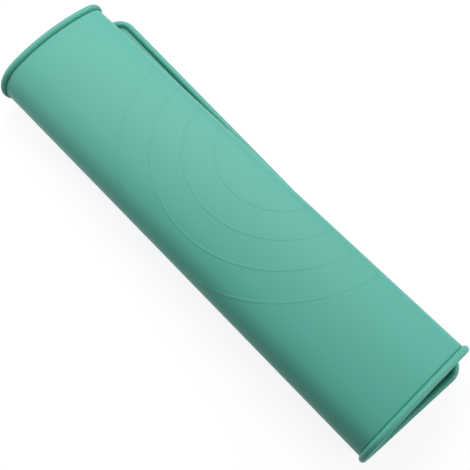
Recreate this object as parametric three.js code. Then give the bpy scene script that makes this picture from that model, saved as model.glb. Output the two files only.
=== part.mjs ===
// Silicone pastry mat, rolled up loosely and laid on a table.
// One thin sheet with a round bead all along its rim and concentric guide circles in low relief.
// Millimetres, +Z up. The roll lies along X and its free outer edge, the tail, lies flat towards +Y.
import * as THREE from 'three';

// The mat as it was moulded, flat
const MAT_SHORT = 420; // side that lies along the roll
const MAT_LONG = 520; // side that is wound up
const SHEET_THICKNESS = 1;
const CORNER_RADIUS = 16;
const BEAD_DIAMETER = 6; // stands proud of both faces

// Guide circles, centred on the mat, on the face that the roll turns outwards
const GUIDE_COUNT = 4;
const GUIDE_FIRST_DIAMETER = 100;
const GUIDE_DIAMETER_STEP = 50;
const GUIDE_WIDTH = 1.6;
const GUIDE_HEIGHT = 0.5;

// The roll, from the tail inwards: flat run, tall turn, shoulder, sloping crown, tight turn, then again inside
const TAIL_RUN = 94.5; // flat on the table, from the outer edge to the tall turn
const TIGHT_TURN_RADIUS = 14.2;
const SHOULDER_RADIUS = 60;
const SHOULDER_RISE = THREE.MathUtils.degToRad(18); // slope where the shoulder leaves the tall turn
const CROWN_LENGTH = 72.8;
const CROWN_RISE = THREE.MathUtils.degToRad(5); // slope where the crown leaves the shoulder
const CROWN_FALL = THREE.MathUtils.degToRad(22); // slope where it reaches the tight turn
const ROLL_SKEW = THREE.MathUtils.degToRad(1.85); // how far off square the mat was rolled
const TAPER_APEX = 7700; // distance from mid-length at which the roll's taper would end in a point

// Clearances
const LAYER_CLEARANCE = 0.6; // between the beads of two layers
const SEAT_GAP = 0.3; // between the sheet and the bead or guides that it carries

// Facets
const TURN_STEP = THREE.MathUtils.degToRad(14); // along the turns
const FLAT_STEP = 16; // along the flat runs
const GUIDE_STEP = 5;
const SHEET_ROWS = 12;
const CORNER_STEPS = 4;
const BEAD_SIDES = 8;

const silicone = new THREE.MeshStandardMaterial({ color: 0x5fae9f, roughness: 0.55, metalness: 0 });

// The section across the roll is a chain of runs, each with a length and the angle that it turns through.
// Layers are offsets of each other, so a turn one layer further in is tighter by one pitch.
const beadRadius = BEAD_DIAMETER / 2;
const layerPitch = BEAD_DIAMETER + LAYER_CLEARANCE;
const crownAngle = CROWN_RISE + CROWN_FALL;
const crownRadius = CROWN_LENGTH / crownAngle;
const shoulderClimb = SHOULDER_RADIUS * (Math.cos(CROWN_RISE) - Math.cos(SHOULDER_RISE));
const crownDrop = crownRadius * (Math.cos(CROWN_RISE) - Math.cos(CROWN_FALL));
const tightDrop = TIGHT_TURN_RADIUS * (1 + Math.cos(CROWN_FALL));
const tallTurnRadius = (layerPitch + tightDrop + crownDrop - shoulderClimb) / (1 + Math.cos(SHOULDER_RISE));
const turnSpan = (SHOULDER_RADIUS - tallTurnRadius) * Math.sin(SHOULDER_RISE)
  + (crownRadius - SHOULDER_RADIUS) * Math.sin(CROWN_RISE)
  + (crownRadius - TIGHT_TURN_RADIUS) * Math.sin(CROWN_FALL); // between the two turns' centres

function windRuns(woundLength) {
  const runs = [];
  let wound = 0;
  for (let inset = 0; wound < woundLength; inset += layerPitch) {
    const layer = [
      { length: inset === 0 ? TAIL_RUN : turnSpan, turn: 0 },
      { length: (tallTurnRadius - inset) * (Math.PI - SHOULDER_RISE), turn: Math.PI - SHOULDER_RISE },
      { length: (SHOULDER_RADIUS - inset) * (SHOULDER_RISE - CROWN_RISE), turn: SHOULDER_RISE - CROWN_RISE },
      { length: (crownRadius - inset) * crownAngle, turn: crownAngle },
      { length: (TIGHT_TURN_RADIUS - inset) * (Math.PI - CROWN_FALL), turn: Math.PI - CROWN_FALL },
    ];
    for (const run of layer) {
      runs.push({ ...run, start: wound });
      wound += run.length;
    }
  }
  return runs;
}

// Skew lets the mat's edges reach a little further round than its own length
const skewReach = MAT_SHORT * Math.sin(ROLL_SKEW);
const runs = windRuns(MAT_LONG + skewReach);

// Where each run begins: the tail starts at y = 0, one bead radius above the table, heading to -Y
let startPoint = { y: 0, z: beadRadius, heading: Math.PI };
for (const run of runs) {
  Object.assign(run, startPoint, { start: run.start });
  startPoint = alongRun(run, run.length);
}

function alongRun(run, distance) {
  const turned = run.turn * (distance / run.length);
  const chord = turned === 0 ? distance : distance * Math.sin(turned / 2) / (turned / 2);
  const chordHeading = run.heading - turned / 2;
  return {
    y: run.y + chord * Math.cos(chordHeading),
    z: run.z + chord * Math.sin(chordHeading),
    heading: run.heading - turned,
  };
}

function runAt(wound) {
  return runs.findLast((run) => run.start <= wound) ?? runs[0];
}

// The pivot of the skew and the taper is the flank of the tall turn, which stays parallel to X
const flankWound = TAIL_RUN + tallTurnRadius * Math.PI / 2;
const flankY = alongRun(runAt(flankWound), flankWound - runAt(flankWound).start).y;

// Lays a point of the flat mat on the roll. a runs in from the tail's edge, b along the roll from
// mid-length, lift is the height above the middle of the sheet on its outer face. The roll is a slender
// cone: the flat mat is turned by the skew, and polar coordinates about the apex become length and winding.
function onRoll(a, b, lift = 0) {
  const fromFlank = a - flankWound;
  const across = fromFlank * Math.cos(ROLL_SKEW) + b * Math.sin(ROLL_SKEW);
  const along = TAPER_APEX + b * Math.cos(ROLL_SKEW) - fromFlank * Math.sin(ROLL_SKEW);
  const reach = Math.hypot(across, along);
  const taper = reach / TAPER_APEX;
  const wound = flankWound + TAPER_APEX * Math.atan2(across, along);
  const run = runAt(wound);
  const { y, z, heading } = alongRun(run, wound - run.start);
  return new THREE.Vector3(
    reach - TAPER_APEX,
    taper * (y - flankY) - lift * Math.sin(heading),
    beadRadius + taper * (z - beadRadius) + lift * Math.cos(heading),
  );
}

// Stations from the tail's edge inwards, close together where the sheet turns
function stationsBetween(from, to) {
  const stations = [from];
  let next = from + stepAt(from);
  while (next < to) {
    stations.push(next);
    next += stepAt(next);
  }
  stations.push(to);
  return stations;
}

function stepAt(a) {
  const nearby = [a - skewReach / 2, a, a + skewReach / 2].map(runAt);
  const steps = nearby.map((run) => (run.turn === 0 ? FLAT_STEP : run.length / run.turn * TURN_STEP));
  return Math.min(FLAT_STEP, ...steps);
}

function quarterTurn(steps) {
  return Array.from({ length: steps + 1 }, (_, i) => Math.PI / 2 * i / steps);
}

function meshOf(name, points, triangles) {
  const geometry = new THREE.BufferGeometry();
  geometry.setFromPoints(points);
  geometry.setIndex(triangles);
  geometry.computeVertexNormals();
  const mesh = new THREE.Mesh(geometry, silicone);
  mesh.name = name;
  return mesh;
}

// A closed tube: rings of points in order, each joined to the next and the last to the first
function loopMesh(name, rings) {
  const sides = rings[0].length;
  const triangles = [];
  for (let i = 0; i < rings.length; i++) {
    const here = i * sides;
    const next = (i + 1) % rings.length * sides;
    for (let j = 0; j < sides; j++) {
      const k = (j + 1) % sides;
      triangles.push(here + j, next + k, next + j, here + j, here + k, next + k);
    }
  }
  return meshOf(name, rings.flat(), triangles);
}

// The sheet inside the bead: a grid of columns from the tail inwards, shortened along the rounded corners
function sheetMesh() {
  const inset = BEAD_DIAMETER + SEAT_GAP;
  const cornerRadius = CORNER_RADIUS - inset;
  const halfLength = MAT_SHORT / 2 - inset;
  const corner = quarterTurn(CORNER_STEPS).map((angle) => ({
    in: cornerRadius * (1 - Math.cos(angle)),
    half: halfLength - cornerRadius * (1 - Math.sin(angle)),
  }));
  const first = inset + cornerRadius;
  const last = MAT_LONG - inset - cornerRadius;
  const columns = [
    ...corner.slice(0, -1).map((c) => ({ a: inset + c.in, half: c.half })),
    ...stationsBetween(first, last).map((a) => ({ a, half: halfLength })),
    ...corner.slice(0, -1).reverse().map((c) => ({ a: MAT_LONG - inset - c.in, half: c.half })),
  ];
  const rows = SHEET_ROWS + 1;
  const points = [];
  for (const lift of [SHEET_THICKNESS / 2, -SHEET_THICKNESS / 2]) {
    for (const { a, half } of columns) {
      for (let j = 0; j < rows; j++) points.push(onRoll(a, half * (2 * j / SHEET_ROWS - 1), lift));
    }
  }
  const outer = (i, j) => i * rows + j;
  const inner = (i, j) => columns.length * rows + outer(i, j);
  const triangles = [];
  const quad = (p, q, r, s) => triangles.push(p, q, r, p, r, s);
  const end = columns.length - 1;
  for (let i = 0; i < end; i++) {
    for (let j = 0; j < SHEET_ROWS; j++) {
      quad(outer(i, j), outer(i, j + 1), outer(i + 1, j + 1), outer(i + 1, j));
      quad(inner(i, j), inner(i + 1, j), inner(i + 1, j + 1), inner(i, j + 1));
    }
    quad(outer(i, 0), outer(i + 1, 0), inner(i + 1, 0), inner(i, 0));
    quad(outer(i + 1, SHEET_ROWS), outer(i, SHEET_ROWS), inner(i, SHEET_ROWS), inner(i + 1, SHEET_ROWS));
  }
  for (let j = 0; j < SHEET_ROWS; j++) {
    quad(outer(0, j + 1), outer(0, j), inner(0, j), inner(0, j + 1));
    quad(outer(end, j), outer(end, j + 1), inner(end, j + 1), inner(end, j));
  }
  return meshOf('mat_sheet', points, triangles);
}

// The rim's path on the flat mat: each point has the way that faces out of the mat there
function rimPath() {
  const cornerRadius = CORNER_RADIUS - beadRadius;
  const halfLength = MAT_SHORT / 2 - beadRadius;
  const near = CORNER_RADIUS;
  const far = MAT_LONG - CORNER_RADIUS;
  const sideEnd = halfLength - cornerRadius;
  const arc = (a, b, from) => quarterTurn(CORNER_STEPS).map((angle) => {
    const out = { a: Math.cos(from + angle), b: Math.sin(from + angle) };
    return { a: a + cornerRadius * out.a, b: b + cornerRadius * out.b, out };
  });
  const inward = stationsBetween(near, far).slice(1, -1);
  const sideways = Array.from({ length: SHEET_ROWS - 1 }, (_, i) => sideEnd * (2 * (i + 1) / SHEET_ROWS - 1));
  return [
    ...inward.map((a) => ({ a, b: -halfLength, out: { a: 0, b: -1 } })),
    ...arc(far, -sideEnd, -Math.PI / 2),
    ...sideways.map((b) => ({ a: MAT_LONG - beadRadius, b, out: { a: 1, b: 0 } })),
    ...arc(far, sideEnd, 0),
    ...inward.toReversed().map((a) => ({ a, b: halfLength, out: { a: 0, b: 1 } })),
    ...arc(near, sideEnd, Math.PI / 2),
    ...sideways.toReversed().map((b) => ({ a: beadRadius, b, out: { a: -1, b: 0 } })),
    ...arc(near, -sideEnd, Math.PI),
  ];
}

// The bead's section is a polygon with one flat against the table where the tail lies on it
function beadMesh() {
  const cornerReach = beadRadius / Math.cos(Math.PI / BEAD_SIDES);
  const rings = rimPath().map(({ a, b, out }) => Array.from({ length: BEAD_SIDES }, (_, i) => {
    const angle = (2 * i + 1) * Math.PI / BEAD_SIDES;
    const outwards = cornerReach * Math.cos(angle);
    return onRoll(a + outwards * out.a, b + outwards * out.b, cornerReach * Math.sin(angle));
  }));
  return loopMesh('rim_bead', rings);
}

// A guide circle is a low ridge, wide at its foot and sharp at its crest
function guideMesh(name, diameter) {
  const count = Math.ceil(Math.PI * diameter / GUIDE_STEP);
  const foot = SHEET_THICKNESS / 2 + SEAT_GAP;
  const section = [
    { radius: diameter / 2 + GUIDE_WIDTH / 2, lift: foot },
    { radius: diameter / 2, lift: foot + GUIDE_HEIGHT },
    { radius: diameter / 2 - GUIDE_WIDTH / 2, lift: foot },
  ];
  const rings = Array.from({ length: count }, (_, i) => section.map(({ radius, lift }) => {
    const angle = 2 * Math.PI * i / count;
    return onRoll(MAT_LONG / 2 + radius * Math.cos(angle), radius * Math.sin(angle), lift);
  }));
  return loopMesh(name, rings);
}

const mat = new THREE.Group();
mat.add(sheetMesh(), beadMesh());
for (let i = 0; i < GUIDE_COUNT; i++) {
  mat.add(guideMesh(`guide_ring_${i + 1}`, GUIDE_FIRST_DIAMETER + i * GUIDE_DIAMETER_STEP));
}

// The origin is the middle of the roll's footprint, on the table
const extent = new THREE.Box3().setFromObject(mat);
const middle = extent.getCenter(new THREE.Vector3());
mat.position.set(-middle.x, -middle.y, -extent.min.z);

export default mat;
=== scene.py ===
"""A silicone pastry mat, rolled up loosely and lying on a pale table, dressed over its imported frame.

Metres throughout, +Z up. The roll lies along X and its free outer edge lies flat towards +Y.
"""
from math import radians

import bpy
import numpy as np
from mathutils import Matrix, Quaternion, Vector


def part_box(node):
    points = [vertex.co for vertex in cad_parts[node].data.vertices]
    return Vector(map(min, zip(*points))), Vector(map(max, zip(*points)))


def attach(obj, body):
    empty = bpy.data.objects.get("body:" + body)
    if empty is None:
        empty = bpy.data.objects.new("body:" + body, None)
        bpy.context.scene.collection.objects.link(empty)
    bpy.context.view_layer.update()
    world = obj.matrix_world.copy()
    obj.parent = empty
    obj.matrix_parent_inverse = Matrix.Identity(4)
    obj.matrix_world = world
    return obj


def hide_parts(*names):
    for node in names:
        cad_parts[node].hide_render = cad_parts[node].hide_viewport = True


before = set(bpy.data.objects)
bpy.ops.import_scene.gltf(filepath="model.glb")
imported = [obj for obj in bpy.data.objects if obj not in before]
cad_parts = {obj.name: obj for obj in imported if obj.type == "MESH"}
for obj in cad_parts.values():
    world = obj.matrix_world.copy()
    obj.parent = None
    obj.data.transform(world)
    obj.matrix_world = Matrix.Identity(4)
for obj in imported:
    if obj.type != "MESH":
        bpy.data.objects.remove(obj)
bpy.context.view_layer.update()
scene = bpy.context.scene
scene.view_settings.view_transform = "Standard"

# The camera hangs above the roll's near end and looks down and along it. It is turned a little on its own
# axis, so that the roll runs across the frame from corner to corner.
CAMERA_PLACE = Vector((0.2129, -0.1447, 0.7338))
CAMERA_AIM = Vector((0.0163, -0.0075, 0.0150))
CAMERA_ROLL = radians(-8.87)
SENSOR_MM = 36.0
LENS_MM = 73.1
CLIP_START = 0.01
camera = bpy.data.objects.new("camera", bpy.data.cameras.new("camera"))
camera.data.sensor_width = SENSOR_MM
camera.data.lens = LENS_MM
camera.data.clip_start = CLIP_START
camera.location = CAMERA_PLACE
camera.rotation_mode = "QUATERNION"
camera.rotation_quaternion = (
    (CAMERA_AIM - CAMERA_PLACE).to_track_quat("-Z", "Y") @ Quaternion((0, 0, 1), CAMERA_ROLL)
)
scene.collection.objects.link(camera)
scene.camera = camera

# The sheet is one thin web of silicone, moulded flat and rolled up loosely by hand: a flat tail on the
# table, a tall turn with its shoulder, a sloping crown and a tight turn, then the same again further in.
# A fine groove on both faces sets it off from the rim.
MAT_SHORT = 0.420
MAT_LONG = 0.520
SHEET_THICKNESS = 0.001
CORNER_RADIUS = 0.016
BEAD_RADIUS = 0.003
GROOVE_WIDTH = 0.0010
GROOVE_DEPTH = 0.0002
# Painted shade: the sheet is darkened in a band this wide beside the bead, fading out over its outer part,
# to stand for the shade in the crease.
PAINTED_CREASE_SHADE_WIDTH = 0.0014
PAINTED_CREASE_SHADE_FADE = 0.0008
GROOVE_STATIONS = 10
GROOVE_LEAD = 0.1
TAIL_LENGTH = 0.0945
TIGHT_TURN_RADIUS = 0.0142
SHOULDER_RADIUS = 0.060
SHOULDER_RISE = radians(18)
CROWN_LENGTH = 0.0728
CROWN_RISE = radians(5)
CROWN_FALL = radians(22)
ROLL_SKEW = radians(1.85)
TAPER_APEX = 7.7
LAYERS = 3
LAYER_CLEARANCE = 0.0006
LAYER_PITCH = 2 * BEAD_RADIUS + LAYER_CLEARANCE
SHEET_COLUMNS = 340
SHEET_ROWS = 60
CORNER_COLUMNS = 40

crown_radius = CROWN_LENGTH / (CROWN_RISE + CROWN_FALL)
tall_turn_radius = (
    LAYER_PITCH
    + SHOULDER_RADIUS * (np.cos(SHOULDER_RISE) - np.cos(CROWN_RISE))
    + crown_radius * (np.cos(CROWN_RISE) - np.cos(CROWN_FALL))
    + TIGHT_TURN_RADIUS * (np.cos(CROWN_FALL) + 1)
) / (1 + np.cos(SHOULDER_RISE))
turn_span = (
    (SHOULDER_RADIUS - tall_turn_radius) * np.sin(SHOULDER_RISE)
    + (crown_radius - SHOULDER_RADIUS) * np.sin(CROWN_RISE)
    + (crown_radius - TIGHT_TURN_RADIUS) * np.sin(CROWN_FALL)
)


def wind_runs():
    """Rows of start, y, z, heading and bend for the runs across the roll, from the tail's edge inwards.

    Each layer is a flat run, the tall turn, its shoulder, the crown and the tight turn. Each layer
    further in has every radius less by one pitch. A run starts where the one before it ends, with the
    heading that it ends on.
    """
    rows = []
    start, y, z, heading = 0.0, 0.0, BEAD_RADIUS, np.pi
    for layer in range(LAYERS):
        inset = layer * LAYER_PITCH
        flat = turn_span if layer else TAIL_LENGTH
        turns = (
            (tall_turn_radius - inset, np.pi - SHOULDER_RISE),
            (SHOULDER_RADIUS - inset, SHOULDER_RISE - CROWN_RISE),
            (crown_radius - inset, CROWN_RISE + CROWN_FALL),
            (TIGHT_TURN_RADIUS - inset, np.pi - CROWN_FALL),
        )
        for length, bend in [(flat, 0.0)] + [(radius * angle, 1 / radius) for radius, angle in turns]:
            rows.append((start, y, z, heading, bend))
            turned = bend * length
            chord = length * np.sinc(turned / (2 * np.pi))
            y += chord * np.cos(heading - turned / 2)
            z += chord * np.sin(heading - turned / 2)
            heading -= turned
            start += length
    return np.array(rows)


roll_runs = wind_runs()


def across_roll(wound):
    """Place and heading in the section across the roll, at distances wound in from the tail's edge.

    The run that holds each distance is found by its start. Along it the point moves by the chord of the
    arc travelled, at the heading half-way round that arc.
    """
    starts = roll_runs[:, 0]
    run = roll_runs[np.clip(np.searchsorted(starts, wound, side="right") - 1, 0, None)]
    travelled = wound - run[..., 0]
    turned = run[..., 4] * travelled
    chord = travelled * np.sinc(turned / (2 * np.pi))
    chord_heading = run[..., 3] - turned / 2
    y = run[..., 1] + chord * np.cos(chord_heading)
    z = run[..., 2] + chord * np.sin(chord_heading)
    return y, z, run[..., 3] - turned


flank_wound = TAIL_LENGTH + tall_turn_radius * np.pi / 2
flank_y = across_roll(np.array(flank_wound))[0]


def on_roll(a, b, lift):
    """Points on the roll for points of the flat mat.

    a runs in from the tail's edge, b along the roll from mid-length, and lift is the height above the
    middle of the sheet, towards its outer face. The flat mat is turned by the skew. Its polar coordinates
    about the taper's apex become length along the roll and winding across it. The section grows with the
    distance from the apex, and lift goes along the section's normal.
    """
    from_flank = a - flank_wound
    across = from_flank * np.cos(ROLL_SKEW) + b * np.sin(ROLL_SKEW)
    along = TAPER_APEX + b * np.cos(ROLL_SKEW) - from_flank * np.sin(ROLL_SKEW)
    reach = np.hypot(across, along)
    taper = reach / TAPER_APEX
    y, z, heading = across_roll(flank_wound + TAPER_APEX * np.arctan2(across, along))
    return np.stack(
        [
            reach - TAPER_APEX + roll_shift[0],
            taper * (y - flank_y) - lift * np.sin(heading) + roll_shift[1],
            BEAD_RADIUS + taper * (z - BEAD_RADIUS) + lift * np.cos(heading),
        ],
        axis=-1,
    )


# The frame's own box says where the roll lies: its ends are even about X = 0, and the sheet's lowest Y is
# the outer face of the tall turn's flank.
roll_shift = np.zeros(2)
rim_line = np.linspace(CORNER_RADIUS, MAT_LONG - CORNER_RADIUS, SHEET_COLUMNS)
near_end, far_end = (on_roll(rim_line, end, 0.0)[:, 0] for end in (-MAT_SHORT / 2, MAT_SHORT / 2))
roll_shift[0] = -(near_end.min() + far_end.max()) / 2
roll_shift[1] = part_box("mat_sheet")[0][1] + SHEET_THICKNESS / 2


def edge_spacing(length, count):
    """Stations from 0 to length: close together across the groove and the painted shade beside the bead at
    both ends, even between them.
    """
    groove = PAINTED_CREASE_SHADE_WIDTH * np.linspace(-GROOVE_LEAD, 1, GROOVE_STATIONS)
    edge = np.append(0.0, BEAD_RADIUS + groove)
    middle = np.linspace(edge[-1], length - edge[-1], count)[1:-1]
    return np.concatenate([edge, middle, length - edge[::-1]])


def rim_distance(a, b):
    """Distance in from the bead's centre line, which is a rectangle with round corners on the flat mat."""
    radius = CORNER_RADIUS - BEAD_RADIUS
    past_a = np.abs(a - MAT_LONG / 2) - (MAT_LONG / 2 - CORNER_RADIUS)
    past_b = np.abs(b) - (MAT_SHORT / 2 - CORNER_RADIUS)
    outside = np.hypot(np.maximum(past_a, 0), np.maximum(past_b, 0))
    return radius - outside - np.minimum(np.maximum(past_a, past_b), 0)


def sheet_half_thickness(distance):
    """Half the sheet's thickness: even, less the groove.

    The groove is deepest by the bead, and rises from there to the sheet's face as half a cosine wave.
    """
    share = np.clip((distance - BEAD_RADIUS) / GROOVE_WIDTH, 0, 1)
    return SHEET_THICKNESS / 2 - GROOVE_DEPTH * (1 + np.cos(np.pi * share)) / 2


def mesh_piece(name, points, faces, material, shade=None):
    """A smooth-shaded mesh object at the origin, from an array of points and an array of quads.

    shade, where given, is each point's share of the darker colour, from 0 to 1: painted shade in the crease
    by the bead, and a faint tint on the guide lines.
    """
    mesh = bpy.data.meshes.new(name)
    mesh.from_pydata(points.reshape(-1, 3), [], faces.reshape(-1, 4).tolist())
    mesh.polygons.foreach_set("use_smooth", np.ones(len(mesh.polygons), dtype=bool))
    mesh.materials.append(material)
    if shade is not None:
        mesh.attributes.new("painted_shade_and_line_tint", "FLOAT", "POINT").data.foreach_set("value", shade.ravel())
    mesh.update()
    piece = bpy.data.objects.new(name, mesh)
    scene.collection.objects.link(piece)
    return piece


SILICONE_COLOUR = (0.106, 0.436, 0.353)
SILICONE_DEEP_COLOUR = (0.100, 0.419, 0.338)
# Painted shade: this darker colour stands for the shade in the crease by the bead; the guide lines take a
# faint share of it as their tint.
CREASE_SHADE_AND_LINE_COLOUR = (0.038, 0.310, 0.235)
SILICONE_IOR = 1.41
SPECULAR = 0.36
ROUGH_LOW = 0.40
ROUGH_HIGH = 0.48
CLOUD_SCALE = 14
CLOUD_DETAIL = 3
GRAIN_SCALE = 1800
GRAIN_DETAIL = 2
GRAIN_STRENGTH = 0.08
GRAIN_HEIGHT = 0.00012


def teal_silicone(name):
    """Satin silicone: teal with a faint cloudiness and a fine moulded grain, with painted shade by the
    bead.

    A slow noise mixes two near shades and moves the roughness a little. A fast one makes the grain. Each
    point's share of the darker colour mixes it in: painted shade in the crease beside the bead, and a faint
    tint on the guide lines.
    """
    material = bpy.data.materials.new(name)
    material.use_nodes = True
    nodes, links = material.node_tree.nodes, material.node_tree.links
    shader = nodes["Principled BSDF"]
    shader.inputs["IOR"].default_value = SILICONE_IOR
    shader.inputs["Specular IOR Level"].default_value = SPECULAR
    place = nodes.new("ShaderNodeTexCoord")

    clouds = nodes.new("ShaderNodeTexNoise")
    clouds.inputs["Scale"].default_value = CLOUD_SCALE
    clouds.inputs["Detail"].default_value = CLOUD_DETAIL
    links.new(place.outputs["Object"], clouds.inputs["Vector"])
    tint = nodes.new("ShaderNodeMix")
    tint.data_type = "RGBA"
    tint.inputs["A"].default_value = (*SILICONE_DEEP_COLOUR, 1)
    tint.inputs["B"].default_value = (*SILICONE_COLOUR, 1)
    links.new(clouds.outputs["Fac"], tint.inputs["Factor"])
    # Painted shade: the attribute darkens the crease by the bead, and tints the guide lines faintly.
    groove = nodes.new("ShaderNodeAttribute")
    groove.attribute_name = "painted_shade_and_line_tint"
    shade = nodes.new("ShaderNodeMix")
    shade.data_type = "RGBA"
    shade.inputs["B"].default_value = (*CREASE_SHADE_AND_LINE_COLOUR, 1)
    links.new(groove.outputs["Fac"], shade.inputs["Factor"])
    links.new(tint.outputs["Result"], shade.inputs["A"])
    links.new(shade.outputs["Result"], shader.inputs["Base Color"])

    gloss = nodes.new("ShaderNodeMapRange")
    gloss.inputs["To Min"].default_value = ROUGH_LOW
    gloss.inputs["To Max"].default_value = ROUGH_HIGH
    links.new(clouds.outputs["Fac"], gloss.inputs["Value"])
    links.new(gloss.outputs["Result"], shader.inputs["Roughness"])

    grain = nodes.new("ShaderNodeTexNoise")
    grain.inputs["Scale"].default_value = GRAIN_SCALE
    grain.inputs["Detail"].default_value = GRAIN_DETAIL
    links.new(place.outputs["Object"], grain.inputs["Vector"])
    relief = nodes.new("ShaderNodeBump")
    relief.inputs["Strength"].default_value = GRAIN_STRENGTH
    relief.inputs["Distance"].default_value = GRAIN_HEIGHT
    links.new(grain.outputs["Fac"], relief.inputs["Height"])
    links.new(relief.outputs["Normal"], shader.inputs["Normal"])
    return material


silicone = teal_silicone("teal_silicone")

corner_a = np.linspace(BEAD_RADIUS, CORNER_RADIUS, CORNER_COLUMNS)
middle_a = np.linspace(CORNER_RADIUS, MAT_LONG - CORNER_RADIUS, SHEET_COLUMNS)[1:-1]
columns_a = np.concatenate([corner_a, middle_a, MAT_LONG - corner_a[::-1]])
column_past = np.maximum(np.abs(columns_a - MAT_LONG / 2) - (MAT_LONG / 2 - CORNER_RADIUS), 0)
corner_reach = CORNER_RADIUS - BEAD_RADIUS
column_half = MAT_SHORT / 2 - CORNER_RADIUS + np.sqrt(np.maximum(corner_reach**2 - column_past**2, 0))
rows_share = edge_spacing(MAT_SHORT - 2 * BEAD_RADIUS, SHEET_ROWS) / (MAT_SHORT / 2 - BEAD_RADIUS) - 1
sheet_a, sheet_b = np.broadcast_arrays(columns_a[:, None], column_half[:, None] * rows_share)
half_thickness = sheet_half_thickness(rim_distance(sheet_a, sheet_b))
sheet_points = np.stack(
    [on_roll(sheet_a, sheet_b, half_thickness), on_roll(sheet_a, sheet_b, -half_thickness)]
)
number = np.arange(sheet_points.size // 3).reshape(sheet_points.shape[:3])
outer, inner = number
sheet_faces = np.concatenate(
    [
        np.stack([outer[:-1, :-1], outer[:-1, 1:], outer[1:, 1:], outer[1:, :-1]], -1).reshape(-1, 4),
        np.stack([inner[:-1, :-1], inner[1:, :-1], inner[1:, 1:], inner[:-1, 1:]], -1).reshape(-1, 4),
        np.stack([outer[:-1, 0], outer[1:, 0], inner[1:, 0], inner[:-1, 0]], -1),
        np.stack([outer[1:, -1], outer[:-1, -1], inner[:-1, -1], inner[1:, -1]], -1),
        np.stack([outer[0, 1:], outer[0, :-1], inner[0, :-1], inner[0, 1:]], -1),
        np.stack([outer[-1, :-1], outer[-1, 1:], inner[-1, 1:], inner[-1, :-1]], -1),
    ]
)
# Painted shade: each point's share of the darker crease colour, on both faces, from the bead out across the
# band.
crease_shade_left = BEAD_RADIUS + PAINTED_CREASE_SHADE_WIDTH - rim_distance(sheet_a, sheet_b)
painted_shade_and_line_tint = np.clip(crease_shade_left / PAINTED_CREASE_SHADE_FADE, 0, 1)
mat = mesh_piece(
    "silicone_sheet", sheet_points, sheet_faces, silicone, shade=np.stack([painted_shade_and_line_tint, painted_shade_and_line_tint])
)
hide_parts("mat_sheet")
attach(mat, "root")

# The rim is a round bead of the same silicone, moulded with the sheet all the way round it and proud of
# both faces. It keeps flour and dough on the mat, and the rolled mat lies on it.
BEAD_SIDES = 32
# Painted shade: the bead's wall that faces the sheet is darkened, to stand for the shade in the crease.
BEAD_PAINTED_SHADE_START = 0.93
BEAD_PAINTED_SHADE_SHARPNESS = 20
CORNER_STEPS = 14


def rim_path():
    """The bead's centre line on the flat mat, and the way out of the mat at each of its points.

    The sides are straight and the corners quarter circles, in order: one end, the inner edge, the other
    end and the tail's edge. Out is square to a side, and along the radius in a corner.
    """
    quarter = np.linspace(0, np.pi / 2, CORNER_STEPS)
    along_a = np.linspace(CORNER_RADIUS, MAT_LONG - CORNER_RADIUS, SHEET_COLUMNS)[1:-1]
    along_b = np.linspace(CORNER_RADIUS - MAT_SHORT / 2, MAT_SHORT / 2 - CORNER_RADIUS, SHEET_ROWS)[1:-1]
    centre, way = [], []
    for turn, side in enumerate((along_a, along_b, along_a[::-1], along_b[::-1])):
        facing = (turn - 1) * np.pi / 2
        angle = np.append(np.full(len(side), facing), facing + quarter)
        out = np.stack([np.cos(angle), np.sin(angle)], axis=-1)
        base = np.empty_like(out)
        near_a = MAT_LONG - CORNER_RADIUS if turn in (0, 1) else CORNER_RADIUS
        near_b = (MAT_SHORT / 2 - CORNER_RADIUS) * (1 if turn in (1, 2) else -1)
        base[:] = near_a, near_b
        base[: len(side), turn % 2] = side
        centre.append(base + corner_reach * out)
        way.append(out)
    return np.concatenate(centre), np.concatenate(way)


def tube_faces(rings, sides):
    """Quads of a closed tube: each ring joined to the next, and the last to the first."""
    number = np.arange(rings * sides).reshape(rings, sides)
    onward = np.roll(number, -1, axis=0)
    return np.stack([number, np.roll(number, -1, axis=1), np.roll(onward, -1, axis=1), onward], -1)


rim_centre, rim_out = rim_path()
around = 2 * np.pi * np.arange(BEAD_SIDES) / BEAD_SIDES
reach_out = BEAD_RADIUS * np.cos(around)
bead_a = rim_centre[:, :1] + rim_out[:, :1] * reach_out
bead_b = rim_centre[:, 1:] + rim_out[:, 1:] * reach_out
bead_points = on_roll(bead_a, bead_b, np.broadcast_to(BEAD_RADIUS * np.sin(around), bead_a.shape))
# Painted shade on the side of the bead that faces the sheet.
bead_painted_shade = np.clip(BEAD_PAINTED_SHADE_SHARPNESS * (-np.cos(around) - BEAD_PAINTED_SHADE_START), 0, 1)
bead = mesh_piece(
    "rim_bead_round",
    bead_points,
    tube_faces(*bead_a.shape),
    silicone,
    shade=np.broadcast_to(bead_painted_shade, bead_a.shape),
)
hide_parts("rim_bead")
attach(bead, "root")

# The guide circles are low rounded lines moulded on the face that the roll turns outwards. They step
# evenly about the mat's middle, for rolling dough to a size.
GUIDE_DIAMETERS = (0.100, 0.150, 0.200, 0.250)
GUIDE_WIDTH = 0.0024
GUIDE_HEIGHT = 0.000009
GUIDE_ROOT = 0.0002
GUIDE_SHADE = 0.03
GUIDE_SPACING = 0.0012
GUIDE_CREST_POINTS = 7


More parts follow.
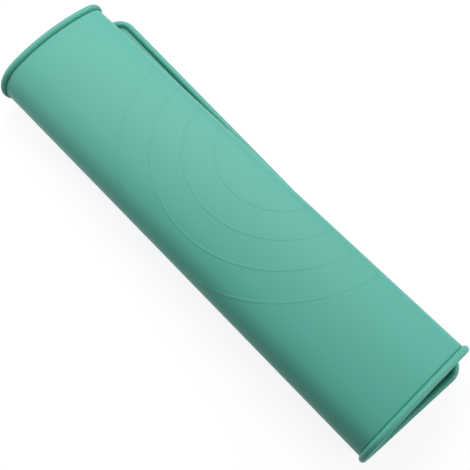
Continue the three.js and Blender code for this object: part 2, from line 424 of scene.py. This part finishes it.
def guide_points(diameter):
    """A closed ridge round a circle of the flat mat.

    Its section is the crest of a cosine wave, and its root lies just inside the sheet's face.
    """
    steps = int(np.pi * diameter / GUIDE_SPACING)
    angle = 2 * np.pi * np.arange(steps)[:, None] / steps
    share = np.linspace(0.5, -0.5, GUIDE_CREST_POINTS)
    out = np.append(share, share[[-1, 0]]) * GUIDE_WIDTH
    crest = GUIDE_HEIGHT * np.cos(np.pi * share)
    lift = SHEET_THICKNESS / 2 + np.append(crest, [-GUIDE_ROOT, -GUIDE_ROOT])
    radius = diameter / 2 + out
    a = MAT_LONG / 2 + radius * np.cos(angle)
    return on_roll(a, radius * np.sin(angle), np.broadcast_to(lift, a.shape))


for order, diameter in enumerate(GUIDE_DIAMETERS, start=1):
    points = guide_points(diameter)
    guide = mesh_piece(
        f"guide_line_{order}",
        points,
        tube_faces(*points.shape[:2]),
        silicone,
        shade=np.full(points.shape[:2], GUIDE_SHADE),
    )
    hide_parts(f"guide_ring_{order}")
    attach(guide, "root")

# The table is a wide pale top with a matt face. The camera sees it nearly white, and it holds the mat's
# soft shadow.
TABLE_HALF = 3.0
TABLE_COLOUR = (0.18, 0.18, 0.18)
TABLE_GLOW = 0.878
TABLE_BOUNCE = (0.45, 0.45, 0.45)


def seen_directly(nodes, links):
    """A socket that is 1 for rays from the camera, reflections and clear pieces, and 0 for other light."""
    path = nodes.new("ShaderNodeLightPath")
    seen = path.outputs["Is Camera Ray"]
    for ray in ("Is Glossy Ray", "Is Transmission Ray"):
        either = nodes.new("ShaderNodeMath")
        either.operation = "MAXIMUM"
        links.new(seen, either.inputs[0])
        links.new(path.outputs[ray], either.inputs[1])
        seen = either.outputs["Value"]
    return seen


def pale_table(name):
    """Matt with an even glow where it is seen directly, and matt grey for the light that it throws back."""
    material = bpy.data.materials.new(name)
    material.use_nodes = True
    nodes, links = material.node_tree.nodes, material.node_tree.links
    nodes.remove(nodes["Principled BSDF"])
    matt = nodes.new("ShaderNodeBsdfDiffuse")
    matt.inputs["Color"].default_value = (*TABLE_COLOUR, 1)
    glow = nodes.new("ShaderNodeEmission")
    glow.inputs["Strength"].default_value = TABLE_GLOW
    seen = nodes.new("ShaderNodeAddShader")
    links.new(matt.outputs["BSDF"], seen.inputs[0])
    links.new(glow.outputs["Emission"], seen.inputs[1])
    dull = nodes.new("ShaderNodeBsdfDiffuse")
    dull.inputs["Color"].default_value = (*TABLE_BOUNCE, 1)
    choose = nodes.new("ShaderNodeMixShader")
    links.new(seen_directly(nodes, links), choose.inputs["Fac"])
    links.new(dull.outputs["BSDF"], choose.inputs[1])
    links.new(seen.outputs["Shader"], choose.inputs[2])
    links.new(choose.outputs["Shader"], nodes["Material Output"].inputs["Surface"])
    return material


table_corners = TABLE_HALF * np.array([[-1, -1, 0], [1, -1, 0], [1, 1, 0], [-1, 1, 0]], float)
table = mesh_piece("table", table_corners, np.arange(4), pale_table("pale_table"))

# The light is a plain soft studio one: a key lamp beyond the mat's free edge, one over the far end, a
# weaker one low beyond each end, and a faint even room.
KEY_PLACE = Vector((-0.33, 0.88, 0.76))
KEY_SIZE = 0.7
KEY_POWER = 6.9
TOP_PLACE = Vector((-0.60, 0.30, 0.85))
TOP_SIZE = 0.7
TOP_POWER = 5.9
END_PLACE = Vector((0.70, 0.34, 0.30))
END_SIZE = 0.7
END_POWER = 3.0
FILL_PLACE = Vector((-0.70, -0.50, 0.40))
FILL_SIZE = 0.7
FILL_POWER = 2.7
ROOM_LIGHT = 0.046
ROOM_SEEN = 1.0


def soft_lamp(name, place, size, power):
    """A square area lamp that faces the middle of the mat."""
    lamp = bpy.data.objects.new(name, bpy.data.lights.new(name, "AREA"))
    lamp.data.size = size
    lamp.data.energy = power
    lamp.location = place
    lamp.rotation_mode = "QUATERNION"
    lamp.rotation_quaternion = (-place).to_track_quat("-Z", "Y")
    scene.collection.objects.link(lamp)


soft_lamp("key_lamp", KEY_PLACE, KEY_SIZE, KEY_POWER)
soft_lamp("top_lamp", TOP_PLACE, TOP_SIZE, TOP_POWER)
soft_lamp("end_lamp", END_PLACE, END_SIZE, END_POWER)
soft_lamp("fill_lamp", FILL_PLACE, FILL_SIZE, FILL_POWER)

room = bpy.data.worlds.new("room")
room.use_nodes = True
scene.world = room
room_nodes, room_links = room.node_tree.nodes, room.node_tree.links
dim = room_nodes["Background"]
dim.inputs["Color"].default_value = (1, 1, 1, 1)
dim.inputs["Strength"].default_value = ROOM_LIGHT
bright = room_nodes.new("ShaderNodeBackground")
bright.inputs["Color"].default_value = (1, 1, 1, 1)
bright.inputs["Strength"].default_value = ROOM_SEEN
room_choose = room_nodes.new("ShaderNodeMixShader")
room_links.new(seen_directly(room_nodes, room_links), room_choose.inputs["Fac"])
room_links.new(dim.outputs["Background"], room_choose.inputs[1])
room_links.new(bright.outputs["Background"], room_choose.inputs[2])
room_links.new(room_choose.outputs["Shader"], room_nodes["World Output"].inputs["Surface"])
